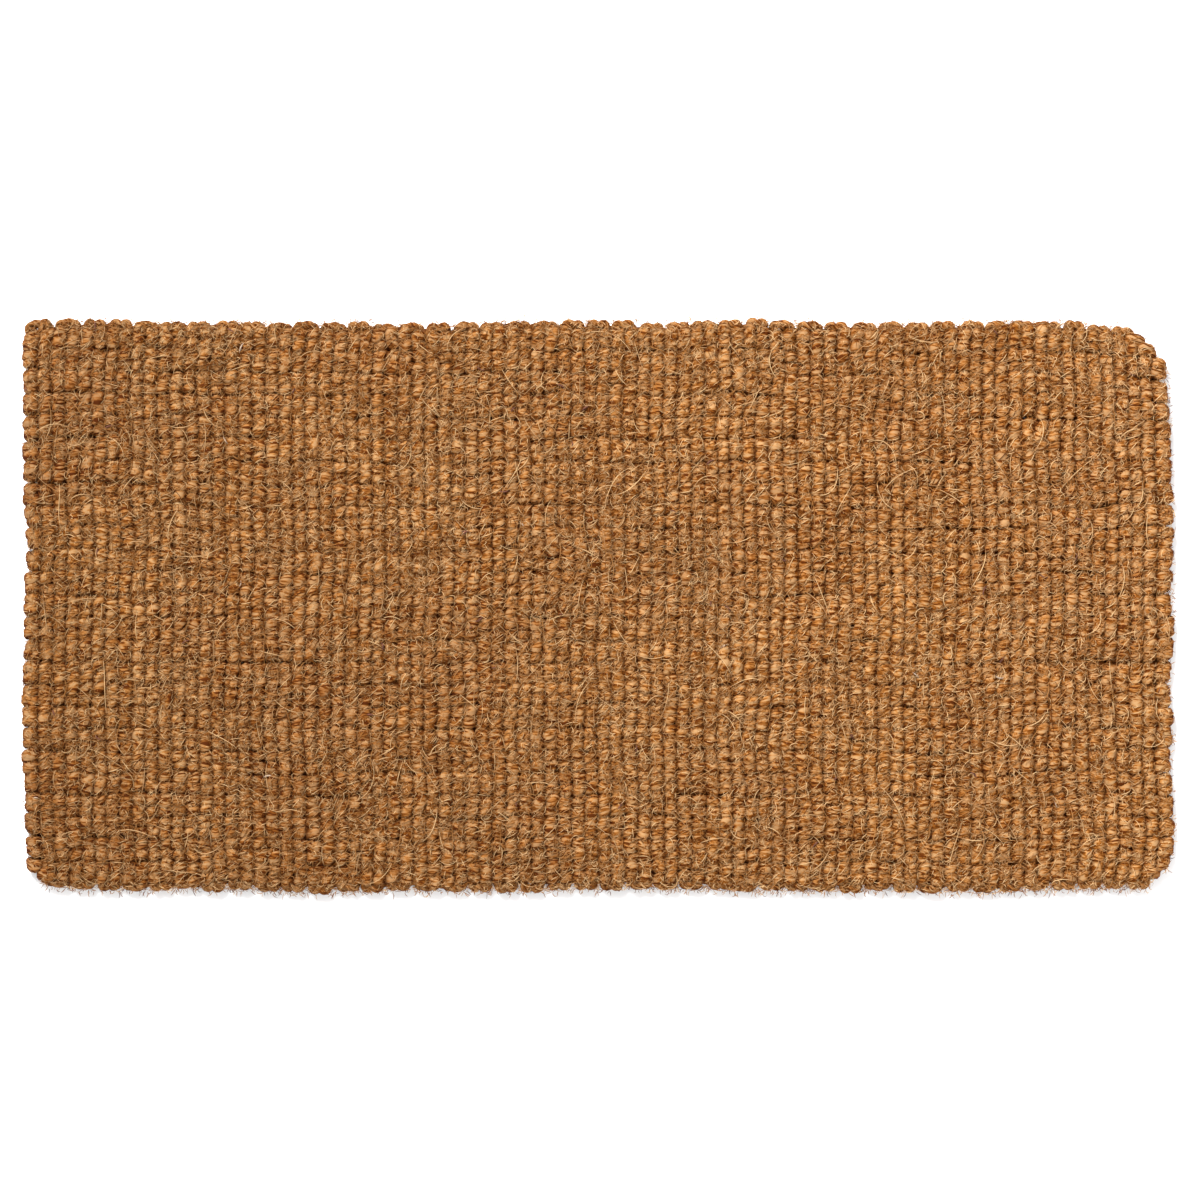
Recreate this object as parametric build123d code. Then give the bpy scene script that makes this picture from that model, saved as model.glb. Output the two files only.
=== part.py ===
from build123d import *
import math
import os

# A woven coir door mat, lying flat. Sizes are in millimetres.
#
# Frame: +X runs along the mat, +Y across it, +Z up. The origin is on the floor, under the
# middle of the mat.
#
# How it is woven: thick rib cords run across the mat, side by side, half way up its
# thickness. Flat coir strands run along the mat. Each strand lies on the rib cords, turns
# round the last of them and comes back beneath them. A thin binder cord lies in each groove
# between two ribs. Past the outermost strands the rib cords turn back into each other, and
# those turns are the two selvedges.

# Driving dimensions
LENGTH = 800.0
WIDTH = 400.0
RIB_COUNT = 86
RIB_DIAMETER = 4.8
STRAND_PAIRS = 25
STRAND_WIDTH = 7.3
STRAND_THICKNESS = 3.8
STRAND_ROUNDING = 1.1
GAP_IN_PAIR = 0.3
GAP_BETWEEN_PAIRS = 0.6
BINDER_DIAMETER = 1.8
CLEARANCE = 0.1
# The corners aren't alike. These are the ribs that the strands nearest each corner stop short
# of, counted from the long edge inwards, so the rear right corner is the roundest.
RIBS_LEFT_OUT = {
    "front_left": (1,),
    "front_right": (1,),
    "rear_left": (),
    "rear_right": (2, 1),
}
# The ribs and the binders are kept in three groups each, from left to right.
GROUPS = ("left", "middle", "right")

# Dimensions that follow from them
THICKNESS = RIB_DIAMETER + 2 * (STRAND_THICKNESS + CLEARANCE)
MID_HEIGHT = THICKNESS / 2
END_DEPTH = STRAND_THICKNESS + CLEARANCE + RIB_DIAMETER / 2
RIB_PITCH = (LENGTH - 2 * END_DEPTH) / (RIB_COUNT - 1)
PAIR_PITCH = 2 * STRAND_WIDTH + GAP_IN_PAIR + GAP_BETWEEN_PAIRS
TURN_RADIUS = RIB_PITCH / 2
RIB_REACH = WIDTH / 2 - TURN_RADIUS - RIB_DIAMETER / 2
STRAND_COUNT = 2 * STRAND_PAIRS


def rib_x(rib):
    """The X of a rib cord, counted from 0 at the left end."""
    return (rib - (RIB_COUNT - 1) / 2) * RIB_PITCH


def strand_y(strand):
    """The Y of a strand's centre line, counted from 0 at the front edge."""
    pair, second = divmod(strand, 2)
    pair_centre = (pair - (STRAND_PAIRS - 1) / 2) * PAIR_PITCH
    half_step = (STRAND_WIDTH + GAP_IN_PAIR) / 2
    return pair_centre + half_step if second else pair_centre - half_step


def ribs_left_out(corner, strands_in):
    """How many ribs a strand stops short of at a corner, this many strands in from the edge."""
    steps = RIBS_LEFT_OUT[corner]
    return steps[strands_in] if strands_in < len(steps) else 0


def ribs_held(strand):
    """The first and the last rib cord that a strand goes round."""
    from_rear = STRAND_COUNT - 1 - strand
    left = ribs_left_out("front_left", strand) + ribs_left_out("rear_left", from_rear)
    right = ribs_left_out("front_right", strand) + ribs_left_out("rear_right", from_rear)
    return left, RIB_COUNT - 1 - right


def strand_loop(strand):
    """One flat strand: along the face, round both ends and back along the underside."""
    first, last = ribs_held(strand)
    length = rib_x(last) - rib_x(first) + 2 * END_DEPTH
    outside = SlotOverall(length, THICKNESS)
    inside = SlotOverall(length - 2 * STRAND_THICKNESS, THICKNESS - 2 * STRAND_THICKNESS)
    loop = extrude(Plane.XZ * (outside - inside), amount=STRAND_WIDTH / 2, both=True)
    rims = loop.edges().filter_by(Axis.Y, reverse=True)
    loop = fillet(rims, STRAND_ROUNDING)
    return Pos((rib_x(first) + rib_x(last)) / 2, strand_y(strand), MID_HEIGHT) * loop


def rib_span(rib):
    """Where a rib cord starts and ends: at the selvedges, or short of a rounded corner."""
    holders = [s for s in range(STRAND_COUNT) if ribs_held(s)[0] <= rib <= ribs_held(s)[1]]
    front = strand_y(holders[0]) - STRAND_WIDTH / 2
    rear = strand_y(holders[-1]) + STRAND_WIDTH / 2
    if holders[0] == 0:
        front = -RIB_REACH
    if holders[-1] == STRAND_COUNT - 1:
        rear = RIB_REACH
    return front, rear


def cross_cord(x, front, rear, diameter):
    """A straight round cord across the mat, half way up its thickness."""
    cord = Rot(90, 0, 0) * Cylinder(diameter / 2, rear - front)
    return Pos(x, (front + rear) / 2, MID_HEIGHT) * cord


def rib_cords():
    """All the rib cords, from left to right."""
    return [cross_cord(rib_x(rib), *rib_span(rib), RIB_DIAMETER) for rib in range(RIB_COUNT)]


def binder_cords():
    """The thin cord in each groove, as long as the shorter of the two ribs beside it."""
    cords = []
    for rib in range(RIB_COUNT - 1):
        front = max(rib_span(rib)[0], rib_span(rib + 1)[0])
        rear = min(rib_span(rib)[1], rib_span(rib + 1)[1])
        cords.append(cross_cord(rib_x(rib) + RIB_PITCH / 2, front, rear, BINDER_DIAMETER))
    return cords


def selvedge_turn(rib, side):
    """The half ring that joins a rib cord to the next one past a long edge."""
    facing, reach = (180, -RIB_REACH) if side == "front" else (0, RIB_REACH)
    half_ring = Torus(
        TURN_RADIUS,
        RIB_DIAMETER / 2,
        major_angle=180,
        align=(Align.CENTER, Align.MIN, Align.CENTER),
    )
    return Pos(rib_x(rib) + TURN_RADIUS, reach, MID_HEIGHT) * Rot(0, 0, facing) * half_ring


def selvedge_turns(side):
    """The turns along one long edge, at every second pair of ribs that both reach it."""
    first_rib, end, reach = (1, 0, -RIB_REACH) if side == "front" else (0, 1, RIB_REACH)
    turns = []
    for rib in range(first_rib, RIB_COUNT - 1, 2):
        if rib_span(rib)[end] == reach and rib_span(rib + 1)[end] == reach:
            turns.append(selvedge_turn(rib, side))
    return turns


def in_groups(solids):
    """Share a row of solids out among the groups, in order."""
    share = math.ceil(len(solids) / len(GROUPS))
    return {group: solids[at * share : (at + 1) * share] for at, group in enumerate(GROUPS)}


def save(node, solids):
    """Write one node, which holds one solid or a group of separate ones."""
    shape = solids[0] if len(solids) == 1 else Compound(solids)
    export_step(shape, f"parts/{node}.step")


def main():
    os.makedirs("parts", exist_ok=True)
    for strand in range(STRAND_COUNT):
        save(f"strand_{strand + 1:02d}", [strand_loop(strand)])
    for group, cords in in_groups(rib_cords()).items():
        save(f"rib_cords_{group}", cords)
    for group, cords in in_groups(binder_cords()).items():
        save(f"binder_cords_{group}", cords)
    for side in ("front", "rear"):
        save(f"{side}_selvedge_turns", selvedge_turns(side))


main()
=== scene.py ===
"""Woven coir door mat: every yarn of it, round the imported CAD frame. Metres, +Z up.

The CAD holds each strand as a plain flat loop and each cord as a plain cylinder. Here each
strand is a soft two-ply yarn that rises over every rib and dips into every groove, the rib
cords are two-ply cords that turn at the selvedges, and a thin binder dodges between the
strands in each groove. Loose fibres and fuzz lie over it all.
"""

import math
from typing import NamedTuple

import bpy
import numpy as np
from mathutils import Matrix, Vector


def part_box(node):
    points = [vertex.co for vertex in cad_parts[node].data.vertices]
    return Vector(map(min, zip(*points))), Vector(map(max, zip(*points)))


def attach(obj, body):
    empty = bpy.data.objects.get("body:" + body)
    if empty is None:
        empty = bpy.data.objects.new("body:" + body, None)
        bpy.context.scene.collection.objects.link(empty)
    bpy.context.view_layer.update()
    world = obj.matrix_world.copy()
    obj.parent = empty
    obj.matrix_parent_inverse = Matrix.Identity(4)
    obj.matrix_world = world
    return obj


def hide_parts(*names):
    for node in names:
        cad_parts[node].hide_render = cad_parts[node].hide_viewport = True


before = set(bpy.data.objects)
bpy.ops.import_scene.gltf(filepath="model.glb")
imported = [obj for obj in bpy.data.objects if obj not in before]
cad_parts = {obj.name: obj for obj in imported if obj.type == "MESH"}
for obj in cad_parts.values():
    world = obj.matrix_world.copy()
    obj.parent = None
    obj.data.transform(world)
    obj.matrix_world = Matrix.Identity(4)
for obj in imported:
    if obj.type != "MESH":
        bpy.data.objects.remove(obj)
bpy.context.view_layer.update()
BOXES = {node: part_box(node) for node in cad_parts}

MM = 0.001
FULL_TURN = 2 * math.pi
TINY = 1e-9  # keeps a division from being by nothing

# Where the draws of random numbers start
SEED = 4108
FUZZ_SEED = SEED + 20
EDGE_SEED = SEED + 40

# The weave, as the CAD has it
RIB_COUNT = 86
STRAND_COUNT = 50
GROUPS = ("left", "middle", "right")

# A strand's way through the weave
FACE_RINGS = 8  # rings of mesh for each rib, on the face
BACK_RINGS = 5  # and on the back
TURN_RINGS = 10
RIB_CLEARANCE = 0.1 * MM
GROOVE_PINCH = 0.14  # how much narrower a strand is in a groove
GROOVE_HEIGHT = 0.10  # of a strand in a groove, as a share of its height over a rib
BINDER_LIFT = 0.14  # the share that is added where the binder is on the strand's other side
FLOAT_SLANT = 0.5 * MM  # how far a strand sways to each side as it crosses a rib
PAIR_CLOSING = 0.35 * MM  # how far it leans to its partner on the face, and away on the back
END_RIBS = 2  # the ribs over which that changes to END_CLOSING
END_CLOSING = 1.0 * MM  # how far it leans at the ends, where a pair makes one scallop
END_PINCH = 0.14  # how much narrower a strand is round its end
TURN_BULGE = (0.95, 1.3)  # the least and most that a turn reaches past its rib, in FLOAT_HEIGHTs
CORNER_BULGE = 0.65  # how much further it reaches, for each rib that it stops short of at a corner

# How much the floats of a strand differ, as standard deviations
GROOVE_SPREAD = 0.07  # of the height in a groove, as the same share
HEIGHT_SPREAD = 0.38 * MM
STRAY_SPREAD = 0.7 * MM  # to either side
PLUMP_SPREAD = 0.13  # of the width, as a share of it
GROOVE_EVENNESS = 0.6  # how much of the last one is lost in a groove

# A strand's two plies
PLY_HALF_WIDTH = 3.9 * MM
PLY_HALF_HEIGHT = 1.85 * MM
PLY_SPREAD_ACROSS = 1.45 * MM
PLY_SPREAD_UP = 0.7 * MM
PLY_WIDENING = 0.22  # how much wider a ply is where it lies over or under the other
PLY_FLATTENING = 0.4  # how much of a change in a strand's width its height shares
RIBS_PER_PLY_TURN = 2.3
PLY_TURN_SPREAD = 0.08  # how much the twist differs from strand to strand
TWIST_CYCLES = (3, 7, 13, 23, 41)  # waves round a strand's whole loop, in which its twist wanders
TWIST_WANDER = 0.5  # radians
SWELL_CYCLES = (11, 29, 67, 131)  # and in which its thickness does
SWELL = 0.05

# The single fibres that wind along the outside of a ply
FIBRES_ON_PLY = 220
FIBRE_POINTS = 6  # one for each ring of the ply that a fibre passes
FIBRE_MIDDLES = (0.2 * math.pi, 0.8 * math.pi)  # where its middle lies on the ply's upper half
FIBRE_WINDS = (-0.12, 0.46)  # how far round it goes, in radians for each ring
FIBRE_PROUD = 1.04  # how far out it lies, as a share of the ply's radius
FIBRE_PROUD_SPREAD = 0.2  # and how much further it may
FIBRE_END_DIP = 0.12  # how much nearer in its ends lie
YARN_FIBRE_RADIUS = 0.23 * MM

# The rib cords and their turns
RIB_PLY_RADIUS = 1.5 * MM
RIB_PLY_SPREAD = 1.25 * MM
RIB_LAY = 15 * MM  # the length in which the plies wind round once
RIB_RINGS = 80
TURN_PLY_RADIUS = 2.4 * MM
TURN_PLY_SPREAD = 1.2 * MM
TURN_LIFT = 1.6 * MM
TURN_FLARE = 0.22  # how much wider a turn is than the ribs it joins
TURN_REACH_SPREAD = 0.25  # how much the turns' reach differs, as a standard deviation
TURN_TAIL = 8 * MM  # how far a turn runs back along its two ribs
TAIL_POINTS = 6
BEND_POINTS = 15
BEND_FULLNESS = 0.7  # below 1, a bend is fuller than a half circle
BEND_FLATTENING = 0.3  # how much less it reaches at its middle
TURN_PHASES = 6.0  # radians over which the turns' plies start

# The curled yarn end at the rear left corner
LOOP_OFFSET = (0.5 * MM, 0.6 * MM, 1.0 * MM)  # of its middle from the rib's end
LOOP_RADIUS = 4.4 * MM
LOOP_NARROWING = 0.1  # how much narrower it is at its rear side
LOOP_SQUASH = 0.9  # its size across the mat, as a share of its size along it
LOOP_SWEEP = (-0.6 * math.pi, 1.25 * math.pi)
LOOP_POINTS = 26
LOOP_DROP = 2.5 * MM  # of its two ends, into the weave
LOOP_TWIST = 2.2 * math.pi
LOOP_PLY_RADIUS = 1.9 * MM
LOOP_PLY_SPREAD = 1.0 * MM

# The binders
BINDER_RADIUS = 1.0 * MM
BINDER_SWING = 3.4 * MM  # how far a binder rises and dips between the strands
BINDER_STEPS = 3  # points for each strand that it passes


class Tube(NamedTuple):
    """How one kind of yarn is meshed, and the size of one of its faces."""

    sides: int
    map_rows: int  # strips on the map for baking, one under another
    face_length: float
    face_width: float


STRAND_TUBE = Tube(sides=6, map_rows=23, face_length=1.35 * MM, face_width=2.0 * MM)
RIB_TUBE = Tube(sides=5, map_rows=40, face_length=3.6 * MM, face_width=1.6 * MM)
TURN_TUBE = Tube(sides=8, map_rows=24, face_length=1.3 * MM, face_width=1.2 * MM)
LOOP_TUBE = Tube(sides=8, map_rows=4, face_length=1.2 * MM, face_width=1.2 * MM)
BINDER_TUBE = Tube(sides=4, map_rows=40, face_length=2.5 * MM, face_width=1.0 * MM)
FIBRE_TUBE = Tube(sides=3, map_rows=120, face_length=2.5 * MM, face_width=0.3 * MM)
FIBRE_LEAN = -0.3  # how far a material's fibres wind round a yarn, for each length along it


# ---------------------------------------------------------------- the frame's measures


def strand_name(strand):
    """The CAD's name for a strand, counted from 0 at the front edge."""
    return f"strand_{strand + 1:02d}"


# Where the CAD has the ribs
RIBS_LOW, RIBS_HIGH = BOXES["rib_cords_left"]
RIB_RADIUS = (RIBS_HIGH[2] - RIBS_LOW[2]) / 2
FIRST_RIB_X = RIBS_LOW[0] + RIB_RADIUS
LAST_RIB_X = BOXES["rib_cords_right"][1][0] - RIB_RADIUS
PITCH = (LAST_RIB_X - FIRST_RIB_X) / (RIB_COUNT - 1)

# The mat's own size, from a strand that runs its whole length and from the selvedges
STRAND_LOW, STRAND_HIGH = BOXES[strand_name(STRAND_COUNT // 2)]
MID_HEIGHT = (STRAND_LOW[2] + STRAND_HIGH[2]) / 2
HALF_THICKNESS = (STRAND_HIGH[2] - STRAND_LOW[2]) / 2
HALF_LENGTH = STRAND_HIGH[0]
HALF_WIDTH = BOXES["rear_selvedge_turns"][1][1]
RIB_REACH = BOXES["rear_selvedge_turns"][0][1]  # where a rib ends and its turn begins

FLOAT_HEIGHT = RIB_RADIUS + PLY_HALF_HEIGHT + RIB_CLEARANCE  # of a float's middle, above mid height
FLOATS_TOP = MID_HEIGHT + FLOAT_HEIGHT + PLY_HALF_HEIGHT

# Where each strand's two ends are
LEFT_ENDS = np.array([BOXES[strand_name(s)][0][0] for s in range(STRAND_COUNT)])
RIGHT_ENDS = np.array([BOXES[strand_name(s)][1][0] for s in range(STRAND_COUNT)])


def strand_y(strand):
    """The Y of a strand's middle."""
    low, high = BOXES[strand_name(strand)]
    return (low[1] + high[1]) / 2


def strand_at(y):
    """The fractional number of the strand at a Y."""
    first = strand_y(0)
    return (y - first) / (strand_y(STRAND_COUNT - 1) - first) * (STRAND_COUNT - 1)


def ribs_held(strand):
    """The first and the last rib that a strand goes round."""
    end_depth = HALF_LENGTH + FIRST_RIB_X
    first = round((LEFT_ENDS[strand] + end_depth - FIRST_RIB_X) / PITCH)
    last = round((RIGHT_ENDS[strand] - end_depth - FIRST_RIB_X) / PITCH)
    return first, last


def rib_ends(rib):
    """The Y where a rib's straight run starts and ends."""
    holders = [s for s in range(STRAND_COUNT) if ribs_held(s)[0] <= rib <= ribs_held(s)[1]]
    front = -RIB_REACH if holders[0] == 0 else strand_y(holders[0])
    rear = RIB_REACH if holders[-1] == STRAND_COUNT - 1 else strand_y(holders[-1])
    return front, rear


def in_groups(count):
    """The CAD's three groups, each with the numbers of its cords."""
    share = math.ceil(count / len(GROUPS))
    for at, group in enumerate(GROUPS):
        yield group, range(at * share, min((at + 1) * share, count))


# ---------------------------------------------------------------- irregularity


def smooth_noise(seed, passes):
    """A random value, about 1 in size, for each crossing of a rib and a strand, smoothed."""
    values = np.random.default_rng(seed).standard_normal((RIB_COUNT + 2, STRAND_COUNT + 2))
    for _ in range(passes):
        values = (np.roll(values, 1, 0) + 2 * values + np.roll(values, -1, 0)) / 4
        values = (np.roll(values, 1, 1) + 2 * values + np.roll(values, -1, 1)) / 4
    return values / values.std()


# How far ribs stray along X and strands stray along Y, crossing by crossing
RIB_STRAY = 0.6 * MM
STRAND_STRAY = 1.0 * MM
RIB_WAVER = RIB_STRAY * smooth_noise(SEED, passes=3)
STRAND_WAVER = STRAND_STRAY * smooth_noise(SEED + 1, passes=2)


def waver_at(waver, rib, strand):
    """How far the weave strays at a crossing. The rib and the strand may be fractions, as arrays."""
    at_rib = np.clip(np.asarray(rib, float), 0, RIB_COUNT - 1)
    at_strand = np.clip(np.asarray(strand, float), 0, STRAND_COUNT - 1)
    i = at_rib.astype(int)
    j = at_strand.astype(int)
    fi = at_rib - i
    fj = at_strand - j
    return (
        waver[i, j] * (1 - fi) * (1 - fj)
        + waver[i + 1, j] * fi * (1 - fj)
        + waver[i, j + 1] * (1 - fi) * fj
        + waver[i + 1, j + 1] * fi * fj
    )


def rib_x(rib, strand):
    """The X of a rib where a strand crosses it."""
    return FIRST_RIB_X + np.asarray(rib, float) * PITCH + waver_at(RIB_WAVER, rib, strand)


# The slow waves that the whole mat is drawn into, along X and along Y. Each has its size, its
# radians for each metre of X and of Y, and its phase.
X_WAVES = ((0.9 * MM, (0, 31), 0.6), (0.5 * MM, (6, 83), 0.0))
Y_WAVES = ((0.8 * MM, (17, 0), 1.1), (0.5 * MM, (41, 9), 2.0))

# The sides of each corner, how far it is drawn in along X and Y, and from how far off. The rear
# right one sags the most.
CORNER_PULLS = (
    ((1, 1), (6.0 * MM, 11.0 * MM), 75 * MM),
    ((1, -1), (4.0 * MM, 2.5 * MM), 45 * MM),
    ((-1, -1), (1.5 * MM, 4.5 * MM), 60 * MM),
    ((-1, 1), (0.0, 1.0 * MM), 30 * MM),
)
PULL_SHARPNESS = 1.7  # how steeply a pull grows towards its corner


def waves_at(x, y, waves):
    """The sum of some slow waves at each point."""
    return sum(size * np.sin(x * by_x + y * by_y + phase) for size, (by_x, by_y), phase in waves)


def settle(points):
    """Draw the whole mat a little out of true, the same for every piece of it."""
    x = points[:, 0]
    y = points[:, 1]
    moved = points.copy()
    moved[:, 0] += waves_at(x, y, X_WAVES)
    moved[:, 1] += waves_at(x, y, Y_WAVES)
    for (side_x, side_y), (pull_x, pull_y), reach in CORNER_PULLS:
        off_x = np.clip(1 - (HALF_LENGTH - side_x * x) / reach, 0, 1)
        off_y = np.clip(1 - (HALF_WIDTH - side_y * y) / reach, 0, 1)
        moved[:, 0] -= side_x * pull_x * off_y**PULL_SHARPNESS * np.sqrt(off_x)
        moved[:, 1] -= side_y * pull_y * off_x**PULL_SHARPNESS * np.sqrt(off_y)
    return moved


# ---------------------------------------------------------------- tubes and meshes


def tube(centres, side, up, half_widths, half_heights, sides, closed):
    """A soft tube's points and four-sided faces, from its centre line and section."""
    angles = np.arange(sides) * (FULL_TURN / sides)
    across = half_widths[:, None] * np.cos(angles)
    over = half_heights[:, None] * np.sin(angles)
    points = centres[:, None, :] + across[..., None] * side[:, None, :]
    points = points + over[..., None] * up[:, None, :]
    rings = len(centres)
    spans = rings if closed else rings - 1
    ring = np.arange(spans)[:, None]
    step = np.arange(sides)[None, :]
    here = ring * sides
    there = (ring + 1) % rings * sides
    after = (step + 1) % sides
    faces = np.stack([here + step, there + step, there + after, here + after], axis=-1)
    return points.reshape(-1, 3), faces.reshape(-1, 4)


def along(centres, closed):
    """The unit direction of a line at each of its points."""
    if closed:
        ahead = np.roll(centres, -1, 0) - np.roll(centres, 1, 0)
    else:
        ahead = np.gradient(centres, axis=0)
    return ahead / np.linalg.norm(ahead, axis=1, keepdims=True)


def distance_along(line):
    """How far each point of a line is from its start."""
    steps = np.linalg.norm(np.diff(line, axis=0), axis=1)
    return np.concatenate([[0], np.cumsum(steps)])


def two_ply(line, phase, radius, spread, sides):
    """Two round plies wound round an open line that stays nearly level."""
    forward = along(line, closed=False)
    up = np.array([[0.0, 0.0, 1.0]]).repeat(len(line), 0)
    side = np.cross(up, forward)
    side /= np.linalg.norm(side, axis=1, keepdims=True)
    tubes = []
    radii = np.full(len(line), radius)
    for half_turn in (0.0, math.pi):
        across = spread * np.cos(phase + half_turn)
        over = spread * np.sin(phase + half_turn)
        centres = line + across[:, None] * side + over[:, None] * up
        tubes.append(tube(centres, side, up, radii, radii, sides, closed=False))
    return tubes


def join_tubes(tubes):
    """The points and the faces of many tubes as those of one mesh."""
    points = []
    faces = []
    count = 0
    for tube_points, tube_faces in tubes:
        points.append(tube_points)
        faces.append(tube_faces + count)
        count += len(tube_points)
    return np.concatenate(points), np.concatenate(faces)


def face_corners(corners):
    """A map's coordinates, face by face, from those of the faces' four corners."""
    return np.stack([np.stack(corner, axis=-1) for corner in corners], axis=1).reshape(-1, 2)


def fibre_map(face_count, kind):
    """Strips in metres, aslant, so that a material's fibres wind along the yarn."""
    spans = face_count // kind.sides
    left = np.repeat(np.arange(spans), kind.sides) * kind.face_length
    right = left + kind.face_length
    bottom = np.tile(np.arange(kind.sides), spans) * kind.face_width + FIBRE_LEAN * left
    top = bottom + kind.face_width
    lean = FIBRE_LEAN * kind.face_length
    return face_corners([(left, bottom), (right, bottom + lean), (right, top + lean), (left, top)])


def strip_map(face_count, kind):
    """The same strips, upright and one under another, to fill the unit square for baking."""
    spans = face_count // kind.sides
    columns = math.ceil(spans / kind.map_rows)
    span = np.repeat(np.arange(spans), kind.sides)
    side = np.tile(np.arange(kind.sides), spans)
    left = (span % columns) / columns
    right = left + 1 / columns
    bottom = (span // columns + side / kind.sides) / kind.map_rows
    top = bottom + 1 / kind.map_rows / kind.sides
    return face_corners([(left, bottom), (right, bottom), (right, top), (left, top)])


def add_map(mesh, name, coordinates):
    """A UV map for a mesh's faces."""
    layer = mesh.uv_layers.new(name=name)
    layer.data.foreach_set("uv", coordinates.astype(np.float32).ravel())


def make_piece(name, tubes, kind, material):
    """One mesh object from a list of tubes, with its two maps, its material and its body."""
    points, faces = join_tubes(tubes)
    points = settle(points)
    points[:, 2] = np.maximum(points[:, 2], 0.0)
    mesh = bpy.data.meshes.new(name)
    mesh.vertices.add(len(points))
    mesh.vertices.foreach_set("co", points.astype(np.float32).ravel())
    mesh.loops.add(4 * len(faces))
    mesh.loops.foreach_set("vertex_index", faces.astype(np.int32).ravel())
    mesh.polygons.add(len(faces))
    mesh.polygons.foreach_set("loop_start", np.arange(0, 4 * len(faces), 4, dtype=np.int32))
    mesh.polygons.foreach_set("use_smooth", np.ones(len(faces), dtype=bool))
    mesh.update(calc_edges=True)
    add_map(mesh, "Fibres", fibre_map(len(faces), kind))
    add_map(mesh, "OFBake", strip_map(len(faces), kind))
    mesh.materials.append(material)
    piece = bpy.data.objects.new(name, mesh)
    bpy.context.scene.collection.objects.link(piece)
    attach(piece, "root")
    return piece


# ---------------------------------------------------------------- materials


class Nodes:
    """A short way to add and join shader nodes."""

    def __init__(self, name):
        self.material = bpy.data.materials.new(name)
        self.material.use_nodes = True
        self.tree = self.material.node_tree
        self.shader = self.tree.nodes["Principled BSDF"]

    def add(self, kind, inputs=(), **settings):
        """A new node, with its settings made and its inputs fed."""
        node = self.tree.nodes.new(kind)
        for key, value in settings.items():
            setattr(node, key, value)
        for socket, value in dict(inputs).items():
            self.feed(node.inputs[socket], value)
        return node

    def feed(self, socket, value):
        """Give a socket a link if the value is another node's socket, and a plain value if not."""
        if isinstance(value, bpy.types.NodeSocket):
            self.tree.links.new(value, socket)
        else:
            socket.default_value = value

    def place(self):
        """Where a point is on the mat, in metres."""
        return self.add("ShaderNodeTexCoord").outputs["Object"]

    def place_on_yarn(self):
        """Where a point is on its yarn, in metres along it and round it."""
        return self.add("ShaderNodeUVMap", uv_map="Fibres").outputs["UV"]

    def noise(self, place, stretch, detail, **more):
        """Noise with so many cells a metre along each of the place's axes."""
        stretched = self.add("ShaderNodeMapping", {"Vector": place, "Scale": stretch})
        inputs = {"Vector": stretched.outputs["Vector"], "Scale": 1.0, "Detail": detail, **more}
        return self.add("ShaderNodeTexNoise", inputs).outputs["Fac"]

    def even_noise(self, place, scale, detail):
        """Noise with the same number of cells a metre all ways."""
        inputs = {"Vector": place, "Scale": scale, "Detail": detail}
        return self.add("ShaderNodeTexNoise", inputs).outputs["Fac"]

    def ramp(self, value, stops):
        """The colour that belongs to a value, blended between stops."""
        node = self.add("ShaderNodeValToRGB", {"Fac": value})
        ends = node.color_ramp.elements
        while len(ends) < len(stops):
            ends.new(0.5)
        for end, (place, colour) in zip(ends, stops):
            end.position = place
            end.color = (*colour, 1)
        return node.outputs["Color"]

    def multiply(self, a, b):
        """Two colours multiplied.

        A Mix node's sockets share their names, so they go by number: input 0 is its factor,
        inputs 6 and 7 are its two colours, and output 2 is their product.
        """
        node = self.add("ShaderNodeMix", data_type="RGBA", blend_type="MULTIPLY")
        self.feed(node.inputs[0], 1.0)
        self.feed(node.inputs[6], a)
        self.feed(node.inputs[7], b)
        return node.outputs[2]

    def math(self, operation, *values, clamp=False):
        """One step of arithmetic."""
        node = self.add("ShaderNodeMath", operation=operation, use_clamp=clamp)
        for socket, value in zip(node.inputs, values):
            self.feed(socket, value)
        return node.outputs[0]


# Coir's colours. A ramp's stops are pairs of a value and a colour, in order.
COIR_DARK = (0.066, 0.015, 0.001)
COIR_BROWN = (0.16, 0.05, 0.005)
COIR_GOLD = (0.304, 0.134, 0.038)
COIR_STRAW = (0.325, 0.188, 0.086)
COIR_PALE = (0.555, 0.362, 0.178)
YARN_COLOURS = ((0.39, COIR_DARK), (0.455, COIR_BROWN), (0.515, COIR_GOLD), (0.58, COIR_STRAW))
LOOSE_COLOURS = (
    (0.39, COIR_DARK),
    (0.45, COIR_BROWN),
    (0.49, COIR_GOLD),
    (0.54, COIR_STRAW),
    (0.60, COIR_PALE),
)
HUSK_BROWN = ((0.35, (0.06, 0.014, 0.005)), (0.65, (0.14, 0.045, 0.02)))
HUSK_PALE = ((0.35, (0.25, 0.17, 0.11)), (0.65, (0.42, 0.31, 0.22)))

# Tones that a colour is multiplied by. From DEEPEST on, they set the painted shade deep in the weave
FROM_LEFT_END = ((0.0, (0.83, 0.81, 0.79)), (1.0, (1.16, 1.16, 1.16)))
FROM_ROW_TO_ROW = ((0.3, (0.78, 0.73, 0.68)), (0.5, (0.95, 0.95, 0.95)), (0.7, (1.08, 1.08, 1.07)))
FROM_PATCH_TO_PATCH = ((0.35, (0.9, 0.84, 0.8)), (0.65, (1.08, 1.07, 1.02)))
DEEPEST = 0.3  # the share of the half thickness, from the middle, where the painted shade is darkest
UNSHADED = 0.88  # and where there is no painted shade any more
DEPTH_POWERS = (0.75, 1.45, 2.6)  # in the painted shade, red fades the least with depth, and blue the most
# the painted shade for loose fibres that lie low in the weave
LOOSE_DEPTH_SHADE = 0.62

# Cells of noise for each metre along and round a yarn, along X, Y and Z, or all ways
YARN_FIBRE_CELLS = (160.0, 1000.0, 1.0)
LOOSE_FIBRE_CELLS = (22.0, 0.0, 1.0)
ROW_CELLS = (9.0, 120.0, 20.0)
PATCH_CELLS = 7.0
HUSK_CELLS = 900.0

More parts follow.
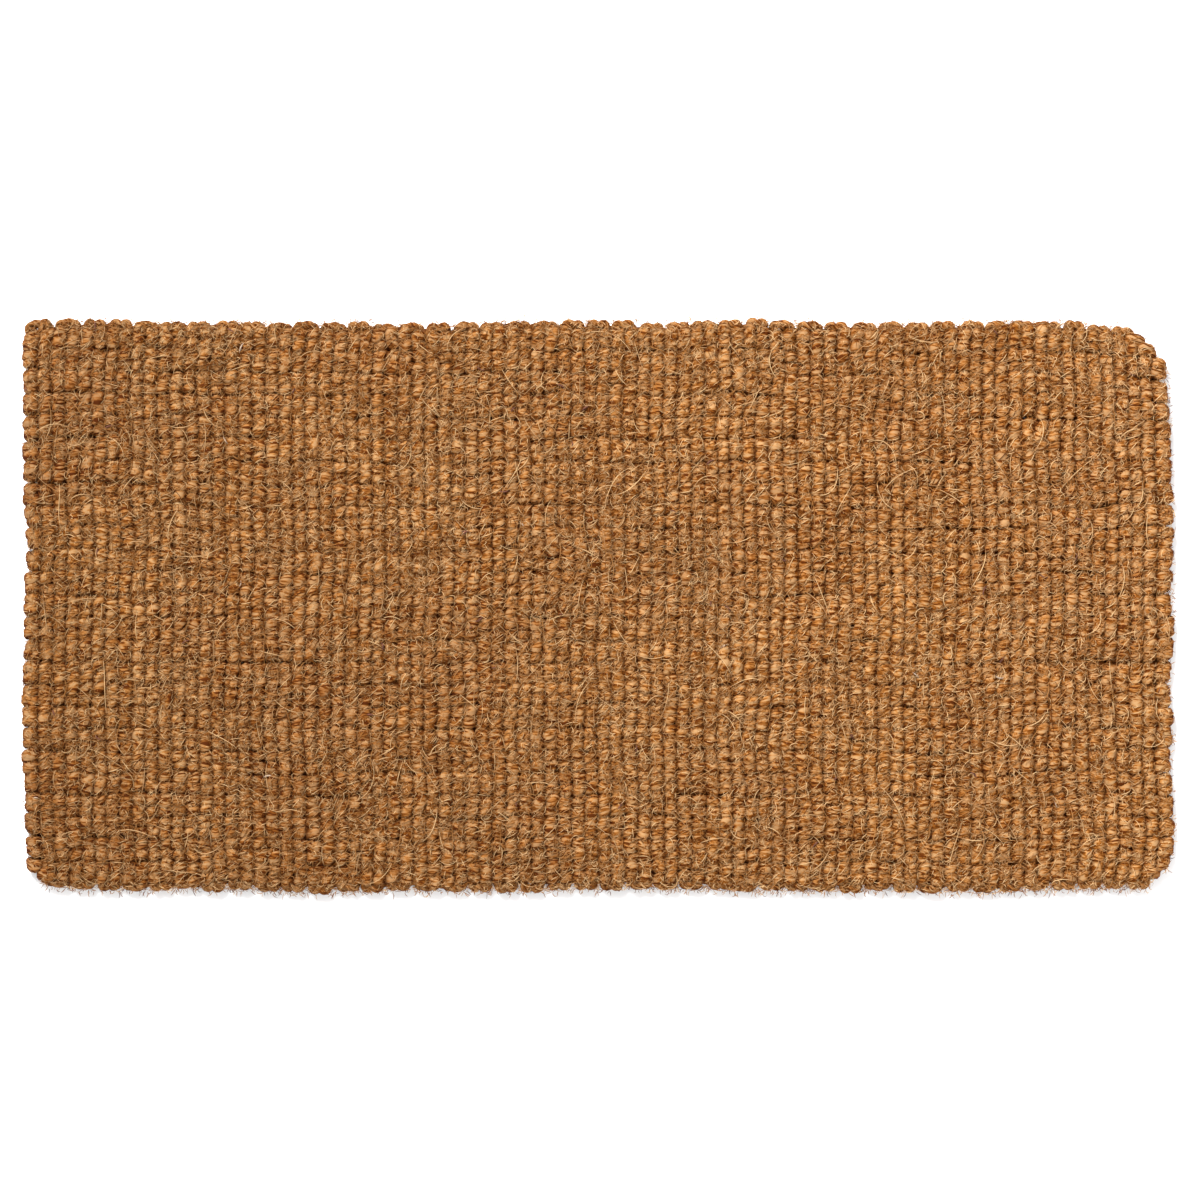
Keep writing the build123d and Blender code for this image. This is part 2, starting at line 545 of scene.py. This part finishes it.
SPECULAR = 0.06  # coir has very little gloss
LOOSE_ROUGHNESS = 0.75
HUSK_ROUGHNESS = 0.9
ROUGHEST = 0.95
FIBRE_GLOSS = 0.25  # how much less rough a yarn is where its noise is highest
BUMP_HEIGHT = 0.9 * MM


def end_tone(n, place):
    """Colour made darker towards the mat's left end and brighter, more golden, towards its right end.
    """
    x = n.add("ShaderNodeSeparateXYZ", {"Vector": place}).outputs["X"]
    ends = {"From Min": -HALF_LENGTH, "From Max": HALF_LENGTH}
    to_right = n.add("ShaderNodeMapRange", {"Value": x, **ends}).outputs["Result"]
    return n.ramp(to_right, FROM_LEFT_END)


def painted_depth_shade(n, place, groove_shade):
    """Painted shade: deep in the weave, away from both faces, the colour is made darker and redder.
    """
    z = n.add("ShaderNodeSeparateXYZ", {"Vector": place}).outputs["Z"]
    from_mid = n.math("ABSOLUTE", n.math("SUBTRACT", z, MID_HEIGHT))
    height = n.math("DIVIDE", from_mid, HALF_THICKNESS, clamp=True)
    deep = tuple(groove_shade**power for power in DEPTH_POWERS)
    return n.ramp(height, ((DEEPEST, deep), (UNSHADED, (1.0, 1.0, 1.0))))


def coir(name, shade, groove_shade):
    """Coir yarn: fine fibres along it, tone that drifts from yarn to yarn, painted shade in the
    grooves.
    """
    n = Nodes(name)
    place = n.place()
    fibres = n.noise(n.place_on_yarn(), YARN_FIBRE_CELLS, detail=3.0, Roughness=0.5, Distortion=0.8)
    colour = n.ramp(fibres, YARN_COLOURS)
    rows = n.noise(place, ROW_CELLS, detail=2.0)
    colour = n.multiply(colour, n.ramp(rows, FROM_ROW_TO_ROW))
    patches = n.even_noise(place, PATCH_CELLS, detail=3.0)
    colour = n.multiply(colour, n.ramp(patches, FROM_PATCH_TO_PATCH))
    colour = n.multiply(colour, end_tone(n, place))
    # painted shade: darker and redder deep in the grooves
    colour = n.multiply(colour, painted_depth_shade(n, place, groove_shade))
    colour = n.multiply(colour, (shade, shade, shade, 1))
    n.feed(n.shader.inputs["Base Color"], colour)
    n.feed(n.shader.inputs["Roughness"], n.math("MULTIPLY_ADD", fibres, -FIBRE_GLOSS, ROUGHEST))
    n.shader.inputs["Specular IOR Level"].default_value = SPECULAR
    bump = n.add("ShaderNodeBump", {"Height": fibres, "Strength": 1.0, "Distance": BUMP_HEIGHT})
    n.feed(n.shader.inputs["Normal"], bump.outputs["Normal"])
    return n.material


def loose_fibre_material():
    """Single fibres, from dark to pale, each nearly one colour along its length."""
    n = Nodes("loose_fibre")
    place = n.place()
    lengths = n.noise(n.place_on_yarn(), LOOSE_FIBRE_CELLS, detail=1.0)
    colour = n.ramp(lengths, LOOSE_COLOURS)
    colour = n.multiply(colour, end_tone(n, place))
    # painted shade: fibres low in the grooves are darker and redder
    colour = n.multiply(colour, painted_depth_shade(n, place, LOOSE_DEPTH_SHADE))
    n.feed(n.shader.inputs["Base Color"], colour)
    n.shader.inputs["Roughness"].default_value = LOOSE_ROUGHNESS
    n.shader.inputs["Specular IOR Level"].default_value = SPECULAR
    return n.material


def husk(name, colours):
    """A crumb of coconut husk, blotched between two colours."""
    n = Nodes(name)
    blotches = n.even_noise(n.place(), HUSK_CELLS, detail=2.0)
    n.feed(n.shader.inputs["Base Color"], n.ramp(blotches, colours))
    n.shader.inputs["Roughness"].default_value = HUSK_ROUGHNESS
    return n.material


# ---------------------------------------------------------------- the strands


def dip(q):
    """0 over the middle of a rib and 1 in the groove, at a fractional rib number."""
    return np.abs(np.sin(math.pi * q)) ** 3


def one_each(rng, q, spread, start=0.0):
    """A random value for each rib, or for each groove if it starts at 0.5, blended between them."""
    values = spread * rng.standard_normal(RIB_COUNT + 2)
    return np.interp(q, np.arange(RIB_COUNT + 2) + start, values)


def strand_run(strand, outward, q, rng):
    """One run of a strand, on the face or on the back, at fractional rib numbers."""
    groove = dip(q)
    binder_over = (strand % 2 == 0) == (outward > 0)
    low = GROOVE_HEIGHT + (0.0 if binder_over else BINDER_LIFT)
    low = low + one_each(rng, q, GROOVE_SPREAD, start=0.5)
    height = FLOAT_HEIGHT * (1 - (1 - low) * groove)
    height = height + one_each(rng, q, HEIGHT_SPREAD) * (1 - groove)
    partner = 1 if strand % 2 == 0 else -1
    first, last = ribs_held(strand)
    near_end = np.clip(1 - np.minimum(q - first, last - q) / END_RIBS, 0, 1) ** 2
    lean = partner * (PAIR_CLOSING * outward * (1 - near_end) + END_CLOSING * near_end)
    slant = FLOAT_SLANT * np.sin(FULL_TURN * q) * outward
    stray = waver_at(STRAND_WAVER, q, strand) + one_each(rng, q, STRAY_SPREAD)
    y = strand_y(strand) + lean + slant + stray
    line = np.stack([rib_x(q, strand), y, MID_HEIGHT + outward * height], axis=-1)
    plump = 1 + one_each(rng, q, PLUMP_SPREAD) * (1 - GROOVE_EVENNESS * groove)
    return line, (1 - GROOVE_PINCH * groove) * plump


def strand_turn(strand, end, facing, start, stop, rng):
    """A strand's half turn round its last rib, from one run's end to the next one's start."""
    turn = np.arange(1, TURN_RINGS) / TURN_RINGS
    angle = turn * math.pi
    ribs_short = RIB_COUNT - 1 - end if facing > 0 else end
    bulge = FLOAT_HEIGHT * (rng.uniform(*TURN_BULGE) + CORNER_BULGE * ribs_short)
    x = rib_x(end, strand) + facing * bulge * np.sin(angle)
    y = start[1] + (stop[1] - start[1]) * turn
    z = MID_HEIGHT + facing * FLOAT_HEIGHT * np.cos(angle)
    return np.stack([x, y, z], axis=-1), 1 - END_PINCH * np.sin(angle)


def strand_line(strand, rng):
    """A strand's closed centre line and its width scale, ring by ring."""
    first, last = ribs_held(strand)
    face_q = first + np.arange((last - first) * FACE_RINGS + 1) / FACE_RINGS
    back_q = last - np.arange((last - first) * BACK_RINGS + 1) / BACK_RINGS
    face, face_width = strand_run(strand, 1, face_q, rng)
    back, back_width = strand_run(strand, -1, back_q, rng)
    right, right_width = strand_turn(strand, last, 1, face[-1], back[0], rng)
    left, left_width = strand_turn(strand, first, -1, back[-1], face[0], rng)
    line = np.concatenate([face, right, back, left])
    return line, np.concatenate([face_width, right_width, back_width, left_width])


def wander(rng, way, cycles, size):
    """A smooth random drift round a closed loop."""
    waves = [rng.standard_normal() * np.sin(FULL_TURN * (n * way + rng.random())) for n in cycles]
    return size * sum(waves)


def strand_plies(strand, rng):
    """A strand's two plies, wound round each other along its line, and the fibres on them."""
    line, width = strand_line(strand, rng)
    forward = along(line, closed=True)
    side = np.array([0.0, 1.0, 0.0]) - forward[:, 1:2] * forward
    side /= np.linalg.norm(side, axis=1, keepdims=True)
    up = np.cross(forward, side)
    way = np.arange(len(line)) / len(line)
    twist = 1 + PLY_TURN_SPREAD * rng.standard_normal()
    turns = round(2 * RIB_COUNT / RIBS_PER_PLY_TURN * twist)
    phase = rng.random() * FULL_TURN - FULL_TURN * turns * way
    phase = phase + wander(rng, way, TWIST_CYCLES, TWIST_WANDER)
    plump = 1 + wander(rng, way, SWELL_CYCLES, SWELL)
    plies = []
    fibres = []
    for half_turn in (0.0, math.pi):
        across = np.cos(phase + half_turn)
        over = np.sin(phase + half_turn)
        centres = line + (PLY_SPREAD_ACROSS * across * width)[:, None] * side
        centres = centres + (PLY_SPREAD_UP * over)[:, None] * up
        widths = PLY_HALF_WIDTH * (1 + PLY_WIDENING * over**2) * width * plump
        heights = PLY_HALF_HEIGHT * plump * (1 - PLY_FLATTENING + PLY_FLATTENING * width)
        plies.append(tube(centres, side, up, widths, heights, STRAND_TUBE.sides, closed=True))
        fibres.append(fibres_on_ply(centres, side, up, widths, heights, rng))
    return plies, np.concatenate(fibres)


def fibres_on_ply(centres, side, up, widths, heights, rng):
    """Single fibres that wind along the outside of a ply, a little proud of it."""
    face_rings = len(centres) * FACE_RINGS // (FACE_RINGS + BACK_RINGS)
    start = rng.integers(0, face_rings, FIBRES_ON_PLY)
    ring = (start[:, None] + np.arange(FIBRE_POINTS)) % len(centres)
    wind = rng.uniform(*FIBRE_WINDS, (FIBRES_ON_PLY, 1))
    middle = rng.uniform(*FIBRE_MIDDLES, (FIBRES_ON_PLY, 1))
    angle = middle - wind * (np.arange(FIBRE_POINTS) - FIBRE_POINTS / 2)
    proud = FIBRE_PROUD + rng.uniform(0.0, FIBRE_PROUD_SPREAD, (FIBRES_ON_PLY, 1))
    ends = np.abs(np.linspace(-1, 1, FIBRE_POINTS)) ** 3
    swell = proud - FIBRE_END_DIP * ends
    return (
        centres[ring]
        + (np.cos(angle) * swell * widths[ring])[..., None] * side[ring]
        + (np.sin(angle) * swell * heights[ring])[..., None] * up[ring]
    )


def make_strands(material, fibre_material):
    """The strands, two to a piece, and the fibres that lie along them."""
    rng = np.random.default_rng(SEED + 2)
    fibres = []
    for pair in range(STRAND_COUNT // 2):
        tubes = []
        for strand in (2 * pair, 2 * pair + 1):
            plies, on_plies = strand_plies(strand, rng)
            tubes += plies
            fibres.append(on_plies)
        piece = make_piece(f"strand_pair_{pair + 1:02d}", tubes, STRAND_TUBE, material)
        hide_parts(strand_name(2 * pair), strand_name(2 * pair + 1))
    make_fibres("yarn_fibres", np.concatenate(fibres), YARN_FIBRE_RADIUS, rng, fibre_material)


# ---------------------------------------------------------------- the rib cords and selvedges


def make_rib_cords(material):
    """The straight runs of the rib cords, in the CAD's three groups."""
    for group, ribs in in_groups(RIB_COUNT):
        tubes = []
        for rib in ribs:
            y = np.linspace(*rib_ends(rib), RIB_RINGS)
            x = rib_x(np.full(RIB_RINGS, float(rib)), strand_at(y))
            line = np.stack([x, y, np.full(RIB_RINGS, MID_HEIGHT)], axis=-1)
            phase = FULL_TURN * y / RIB_LAY + rib
            tubes += two_ply(line, phase, RIB_PLY_RADIUS, RIB_PLY_SPREAD, RIB_TUBE.sides)
        piece = make_piece(f"rib_yarns_{group}", tubes, RIB_TUBE, material)
        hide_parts(f"rib_cords_{group}")


def reaches_edge(rib, side):
    """Whether a rib runs right to a long edge. The side is -1 at the front and 1 at the rear."""
    front, rear = rib_ends(rib)
    return abs(front if side < 0 else rear) >= RIB_REACH - MM


def turn_line(rib, side, reach):
    """The way from a rib out past the edge, round and back along the next rib."""
    edge = strand_at(side * RIB_REACH)
    x0 = rib_x(rib, edge)
    x1 = rib_x(rib + 1, edge)
    radius = (x1 - x0) / 2
    angle = np.linspace(math.pi, 0, BEND_POINTS)
    tail = np.linspace(TURN_TAIL, 0, TAIL_POINTS)[:-1]
    flare = TURN_FLARE * radius * np.linspace(0, 1, TAIL_POINTS)[:-1]
    bend = (x0 + x1) / 2 + (1 + TURN_FLARE) * radius * np.cos(angle)
    x = np.concatenate([x0 - flare, bend, x1 + flare[::-1]])
    bulge = np.sin(angle) ** BEND_FULLNESS * (1 - BEND_FLATTENING * np.sin(angle) ** 6)
    out = np.concatenate([-tail, reach * bulge, -tail[::-1]])
    y = side * (RIB_REACH + out)
    z = MID_HEIGHT + TURN_LIFT * np.clip(out / reach, 0, 1)
    return np.stack([x, y, z], axis=-1)


def make_selvedge(side, material):
    """The turns of the rib cord past one long edge. The side is -1 at the front and 1 at the rear."""
    rng = np.random.default_rng(SEED + 2 + side)
    first_rib = 1 if side < 0 else 0
    room = HALF_WIDTH - RIB_REACH - TURN_PLY_SPREAD - TURN_PLY_RADIUS
    tubes = []
    for rib in range(first_rib, RIB_COUNT - 1, 2):
        if reaches_edge(rib, side) and reaches_edge(rib + 1, side):
            reach = room * (1 + TURN_REACH_SPREAD * rng.standard_normal())
            line = turn_line(rib, side, reach)
            phase = FULL_TURN * distance_along(line) / RIB_LAY + rng.random() * TURN_PHASES
            tubes += two_ply(line, phase, TURN_PLY_RADIUS, TURN_PLY_SPREAD, TURN_TUBE.sides)
    edge = "front" if side < 0 else "rear"
    piece = make_piece(f"{edge}_selvedge_yarns", tubes, TURN_TUBE, material)
    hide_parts(f"{edge}_selvedge_turns")


def make_corner_loop(material):
    """The end of a yarn, curled into a small loop at the rear left corner."""
    _, rear = rib_ends(0)
    middle = np.array([FIRST_RIB_X, rear, MID_HEIGHT + TURN_LIFT]) + np.array(LOOP_OFFSET)
    angle = np.linspace(*LOOP_SWEEP, LOOP_POINTS)
    radius = LOOP_RADIUS * (1 - LOOP_NARROWING * np.sin(angle))
    drop = LOOP_DROP * (np.abs(np.linspace(-1, 1, LOOP_POINTS)) ** 4)
    round_middle = [radius * np.cos(angle), LOOP_SQUASH * radius * np.sin(angle), -drop]
    line = middle + np.stack(round_middle, axis=-1)
    phase = np.linspace(0, LOOP_TWIST, LOOP_POINTS)
    tubes = two_ply(line, phase, LOOP_PLY_RADIUS, LOOP_PLY_SPREAD, LOOP_TUBE.sides)
    piece = make_piece("corner_loop", tubes, LOOP_TUBE, material)


def binder(groove):
    """The thin cord in one groove, numbered by the rib on its left."""
    front = max(rib_ends(groove)[0], rib_ends(groove + 1)[0])
    rear = min(rib_ends(groove)[1], rib_ends(groove + 1)[1])
    count = round((strand_at(rear) - strand_at(front)) * BINDER_STEPS) + 1
    y = np.linspace(front, rear, count)
    strand = strand_at(y)
    z = MID_HEIGHT + BINDER_SWING * np.cos(math.pi * strand)
    line = np.stack([rib_x(np.full(count, groove + 0.5), strand), y, z], axis=-1)
    side = np.array([[1.0, 0.0, 0.0]]).repeat(count, 0)
    up = np.cross(side, along(line, closed=False))
    radii = np.full(count, BINDER_RADIUS)
    return tube(line, side, up, radii, radii, BINDER_TUBE.sides, closed=False)


def make_binders(material):
    """The binders: each goes over the face of one strand and under the back of the next."""
    for group, grooves in in_groups(RIB_COUNT - 1):
        tubes = [binder(groove) for groove in grooves]
        piece = make_piece(f"binder_yarns_{group}", tubes, BINDER_TUBE, material)
        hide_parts(f"binder_cords_{group}")


# ---------------------------------------------------------------- loose fibres


class Fibres(NamedTuple):
    """One kind of loose fibre, which lies on the weave with both its ends tucked in."""

    name: str
    how_many: int
    lengths: tuple  # the shortest and the longest
    radius: float
    steps: int  # points along it
    height: float  # of its middle, above the floor
    lift: float  # how much higher that may be
    dive: float  # how much lower its ends are
    bend: float  # how much it curls, in radians
    sink: float = 0.0  # how much lower it lies in a groove


LOOSE_KINDS = (
    Fibres(
        "long_fibres", 900, lengths=(18 * MM, 42 * MM), radius=0.23 * MM, steps=12,
        height=FLOATS_TOP + 0.8 * MM, lift=2.0 * MM, dive=3.0 * MM, bend=0.9,
    ),
    Fibres(
        "curled_fibres", 4500, lengths=(8 * MM, 20 * MM), radius=0.205 * MM, steps=7,
        height=FLOATS_TOP + 0.5 * MM, lift=1.5 * MM, dive=2.2 * MM, bend=1.3, sink=0.5 * MM,
    ),
    Fibres(
        "fuzz_high", 36000, lengths=(4 * MM, 9 * MM), radius=0.21 * MM, steps=4,
        height=FLOATS_TOP + 0.65 * MM, lift=1.2 * MM, dive=1.3 * MM, bend=1.3, sink=1.5 * MM,
    ),
    Fibres(
        "fuzz_low", 30000, lengths=(3 * MM, 7 * MM), radius=0.21 * MM, steps=3,
        height=FLOATS_TOP + 0.3 * MM, lift=1.0 * MM, dive=1.0 * MM, bend=1.1, sink=1.9 * MM,
    ),
    Fibres(
        "fuzz_deep", 10000, lengths=(3 * MM, 7 * MM), radius=0.22 * MM, steps=3,
        height=FLOATS_TOP - 0.6 * MM, lift=1.0 * MM, dive=1.0 * MM, bend=1.1, sink=2.0 * MM,
    ),
    # On the underside the ends go up into the weave
    Fibres(
        "fuzz_back", 5000, lengths=(4 * MM, 12 * MM), radius=0.15 * MM, steps=5,
        height=0.4 * MM, lift=0.0, dive=-1.8 * MM, bend=1.2,
    ),
)
BROWN_BITS = Fibres(
    "husk_bits_brown", 60, lengths=(3 * MM, 8 * MM), radius=0.6 * MM, steps=5,
    height=FLOATS_TOP + 0.4 * MM, lift=0.5 * MM, dive=1.2 * MM, bend=0.5,
)
PALE_BITS = BROWN_BITS._replace(name="husk_bits_pale", how_many=10)

MOST_TRIANGLES = 190_000  # in one piece of fibres
OUTLINE_MARGIN = 1 * MM  # how far inside the mat's outline all of a loose fibre lies
PATCHES = 260  # places where the fuzz is thicker
PATCH_REACH = 11 * MM
EVEN_SHARE = 0.55  # of the fibres, which lie anywhere and not in a patch
FIBRE_RADII = (0.7, 1.35)  # the thinnest and the thickest, as shares of a kind's radius
FIBRE_TIP = 0.35  # a fibre's radius at its ends, as a share of that at its middle

# The short hairs past the edges. Their lengths, insets, strays and rises are in millimetres.
LEFT, RIGHT, FRONT, REAR = range(4)
EDGE_SHARES = (0.16, 0.15, 0.40, 0.29)
EDGE_HAIRS = 6500
EDGE_STEPS = 4
EDGE_RADIUS = 0.23 * MM
EDGE_LENGTHS = (2.2, 5.0)
EDGE_INSETS = (1.5, 9.0)  # from the edge to where a hair starts
EDGE_STRAYS = (-4, 4)  # of a hair from the middle of its strand, at the left and right edges
EDGE_ENDS = (12 * MM, 14 * MM)  # lengths of the long edges without hairs, at their left and right
EDGE_FAN = 2.0  # the most that a hair turns from straight out, in radians
EDGE_BEND = 0.9
EDGE_FEET = (0.2, 1.65)  # the height of a hair's foot above mid height, in FLOAT_HEIGHTs
EDGE_RISES = (-2.5, 1.0)  # from its foot to its tip


def inside_outline(x, y, margin):
    """Whether points lie over the mat, as its strands' ends bound it."""
    strand = np.clip(np.round(strand_at(y)), 0, STRAND_COUNT - 1).astype(int)
    across = (x > LEFT_ENDS[strand] + margin) & (x < RIGHT_ENDS[strand] - margin)
    return across & (np.abs(y) < HALF_WIDTH - margin)


def curved_walk(start_x, start_y, heading, length, bend, steps, rng):
    """Level lines that start at a place and a heading and curl as they go."""
    count = len(start_x)
    t = np.linspace(0, 1, steps)
    curl = bend * rng.standard_normal((count, 1))
    curl_change = bend * rng.standard_normal((count, 1))
    angle = heading[:, None] + curl * t + curl_change * t**2
    step = length[:, None] / (steps - 1)
    x = start_x[:, None] + np.cumsum(np.cos(angle) * step, axis=1)
    y = start_y[:, None] + np.cumsum(np.sin(angle) * step, axis=1)
    return x, y, t


def fibre_lines(kind, rng):
    """Curved lines that lie on the weave, with both ends tucked into it, thicker in some patches."""
    count = kind.how_many
    patch_x = rng.uniform(-HALF_LENGTH, HALF_LENGTH, PATCHES)
    patch_y = rng.uniform(-HALF_WIDTH, HALF_WIDTH, PATCHES)
    patch = rng.integers(0, PATCHES, count)
    anywhere = rng.random(count) < EVEN_SHARE
    near_x = patch_x[patch] + PATCH_REACH * rng.standard_normal(count)
    near_y = patch_y[patch] + PATCH_REACH * rng.standard_normal(count)
    start_x = np.where(anywhere, rng.uniform(-HALF_LENGTH, HALF_LENGTH, count), near_x)
    start_y = np.where(anywhere, rng.uniform(-HALF_WIDTH, HALF_WIDTH, count), near_y)
    heading = rng.uniform(0, FULL_TURN, count)
    length = rng.uniform(*kind.lengths, count)
    x, y, t = curved_walk(start_x, start_y, heading, length, kind.bend, kind.steps, rng)
    rise = kind.lift * rng.random((count, 1)) ** 2
    arch = np.sin(math.pi * t) ** 0.6
    rib = (x - FIRST_RIB_X) / PITCH
    z = kind.height - kind.dive * (1 - arch) + rise * arch - kind.sink * dip(rib)
    lines = np.stack([x, y, z], axis=-1)
    return lines[inside_outline(x, y, OUTLINE_MARGIN).all(axis=1)]


def edge_fibre_lines(rng):
    """Short hairs that stand out past the four edges."""
    count = EDGE_HAIRS
    strand = rng.integers(0, STRAND_COUNT, count)
    strand_ys = np.array([strand_y(s) for s in range(STRAND_COUNT)])
    edge = rng.choice(4, count, p=EDGE_SHARES)
    inset = rng.uniform(*EDGE_INSETS, count) * MM
    bare_left, bare_right = EDGE_ENDS
    along_edge = rng.uniform(-HALF_LENGTH + bare_left, HALF_LENGTH - bare_right, count)
    stray = rng.uniform(*EDGE_STRAYS, count) * MM
    start_x = np.select(
        [edge == LEFT, edge == RIGHT],
        [LEFT_ENDS[strand] + inset, RIGHT_ENDS[strand] - inset],
        along_edge,
    )
    start_y = np.select(
        [edge == FRONT, edge == REAR],
        [-HALF_WIDTH + inset, HALF_WIDTH - inset],
        strand_ys[strand] + stray,
    )
    outward = np.select(
        [edge == LEFT, edge == RIGHT, edge == FRONT],
        [math.pi, 0.0, -math.pi / 2],
        math.pi / 2,
    )
    heading = outward + rng.uniform(-EDGE_FAN, EDGE_FAN, count)
    length = rng.uniform(*EDGE_LENGTHS, count) * MM
    x, y, t = curved_walk(start_x, start_y, heading, length, EDGE_BEND, EDGE_STEPS, rng)
    foot = MID_HEIGHT + rng.uniform(*EDGE_FEET, (count, 1)) * FLOAT_HEIGHT
    z = foot + (rng.uniform(*EDGE_RISES, (count, 1)) * MM) * t
    return np.stack([x, y, z], axis=-1)


def fibre_tubes(lines, radius, rng):
    """Thin tubes along many lines at once, tapering at both ends, as the tubes of one mesh."""
    count, steps, _ = lines.shape
    sides = FIBRE_TUBE.sides
    tangents = np.gradient(lines, axis=1)
    tangents /= np.linalg.norm(tangents, axis=2, keepdims=True)
    side = np.cross(np.array([0.0, 0.0, 1.0]), tangents)
    side /= np.maximum(np.linalg.norm(side, axis=2, keepdims=True), TINY)
    up = np.cross(tangents, side)
    t = np.linspace(0, 1, steps)
    taper = FIBRE_TIP + (1 - FIBRE_TIP) * np.sin(math.pi * t) ** 0.5
    radii = radius * rng.uniform(*FIBRE_RADII, count)[:, None] * taper
    angles = np.arange(sides) * (FULL_TURN / sides) + math.pi / 2
    points = (
        lines[:, :, None, :]
        + (radii[..., None] * np.cos(angles))[..., None] * side[:, :, None, :]
        + (radii[..., None] * np.sin(angles))[..., None] * up[:, :, None, :]
    )
    here = (np.arange(count)[:, None, None] * steps + np.arange(steps - 1)[None, :, None]) * sides
    there = here + sides
    step = np.arange(sides)[None, None, :]
    after = (step + 1) % sides
    faces = np.stack([here + step, there + step, there + after, here + after], axis=-1)
    return [(points.reshape(-1, 3), faces.reshape(-1, 4))]


def make_fibres(name, lines, radius, rng, material):
    """Mesh objects of fibres, none of them with too many triangles."""
    triangles = 2 * FIBRE_TUBE.sides * (lines.shape[1] - 1) * len(lines)
    shares = np.array_split(lines, math.ceil(triangles / MOST_TRIANGLES))
    for number, share in enumerate(shares, start=1):
        tubes = fibre_tubes(share, radius, rng)
        piece = make_piece(f"{name}_{number}", tubes, FIBRE_TUBE, material)


def make_loose_fibres(material):
    """Long hairs and short fuzz on the face and the back, and short hairs past the edges."""
    for number, kind in enumerate(LOOSE_KINDS):
        rng = np.random.default_rng(FUZZ_SEED + number)
        make_fibres(kind.name, fibre_lines(kind, rng), kind.radius, rng, material)
    rng = np.random.default_rng(EDGE_SEED)
    make_fibres("fuzz_edges", edge_fibre_lines(rng), EDGE_RADIUS, rng, material)
    make_husk_bits(rng)


def make_husk_bits(rng):
    """Crumbs of husk on the face: many brown ones and a few pale ones."""
    brown_husk = husk("husk_brown", HUSK_BROWN)
    pale_husk = husk("husk_pale", HUSK_PALE)
    for kind, material in ((BROWN_BITS, brown_husk), (PALE_BITS, pale_husk)):
        make_fibres(kind.name, fibre_lines(kind, rng), kind.radius, rng, material)


# ---------------------------------------------------------------- the studio

FLOOR_HALF = 6.0
FLOOR_DROP = 0.2 * MM  # below the mat's underside, so that they don't share a plane
FLOOR_WHITE = 0.93
DAYLIGHT = 1.13
LENS = 100
SENSOR = 36
MAT_SHARE = 23 / 24  # of the picture's width that the mat fills
CAMERA_OFFSET = (1.4 * MM, 4.2 * MM)  # from above the mat's middle, as the photo's framing has it


def make_floor():
    """A plain white floor."""
    mesh = bpy.data.meshes.new("floor")
    corners = [(-1, -1), (1, -1), (1, 1), (-1, 1)]
    mesh.from_pydata([(x * FLOOR_HALF, y * FLOOR_HALF, 0) for x, y in corners], [], [(0, 1, 2, 3)])
    floor = bpy.data.objects.new("floor", mesh)
    n = Nodes("floor_white")
    n.shader.inputs["Base Color"].default_value = (FLOOR_WHITE, FLOOR_WHITE, FLOOR_WHITE, 1)
    n.shader.inputs["Roughness"].default_value = 1.0
    n.shader.inputs["Specular IOR Level"].default_value = 0.0
    mesh.materials.append(n.material)
    bpy.context.scene.collection.objects.link(floor)
    floor.location.z = -FLOOR_DROP


def make_light(name, place, size, power):
    """A round lamp at a place, which faces the middle of the mat."""
    data = bpy.data.lights.new(name, "AREA")
    data.shape = "DISK"
    data.size = size
    data.energy = power
    light = bpy.data.objects.new(name, data)
    light.location = place
    light.rotation_euler = (-Vector(place)).to_track_quat("-Z", "Y").to_euler()
    bpy.context.scene.collection.objects.link(light)


def make_studio():
    """White room light, with one soft lamp from the rear left to raise the weave."""
    world = bpy.data.worlds.new("studio")
    world.use_nodes = True
    world.node_tree.nodes["Background"].inputs["Color"].default_value = (1, 1, 1, 1)
    world.node_tree.nodes["Background"].inputs["Strength"].default_value = DAYLIGHT
    bpy.context.scene.world = world
    make_light("key_light", place=(-0.8, 1.75, 2.1), size=1.0, power=194)
    make_light("fill_light", place=(1.8, -0.6, 2.4), size=1.6, power=14)
    bpy.context.scene.view_settings.view_transform = "Standard"


def make_camera():
    """Straight down, so that the mat is square on and fills nearly the whole width."""
    data = bpy.data.cameras.new("camera")
    data.lens = LENS
    data.sensor_width = SENSOR
    camera = bpy.data.objects.new("camera", data)
    above_face = 2 * HALF_LENGTH / MAT_SHARE * LENS / SENSOR
    camera.location = (*CAMERA_OFFSET, above_face + 2 * HALF_THICKNESS)
    bpy.context.scene.collection.objects.link(camera)
    bpy.context.scene.camera = camera


make_camera()
loose_fibre = loose_fibre_material()
make_strands(coir("coir_strand", shade=0.87, groove_shade=0.53), loose_fibre)
rib_coir = coir("coir_rib_cord", shade=0.86, groove_shade=0.85)
make_rib_cords(rib_coir)
make_selvedge(-1, rib_coir)
make_selvedge(1, rib_coir)
make_corner_loop(rib_coir)
make_binders(coir("coir_binder", shade=0.5, groove_shade=0.6))
make_loose_fibres(loose_fibre)
make_floor()
make_studio()
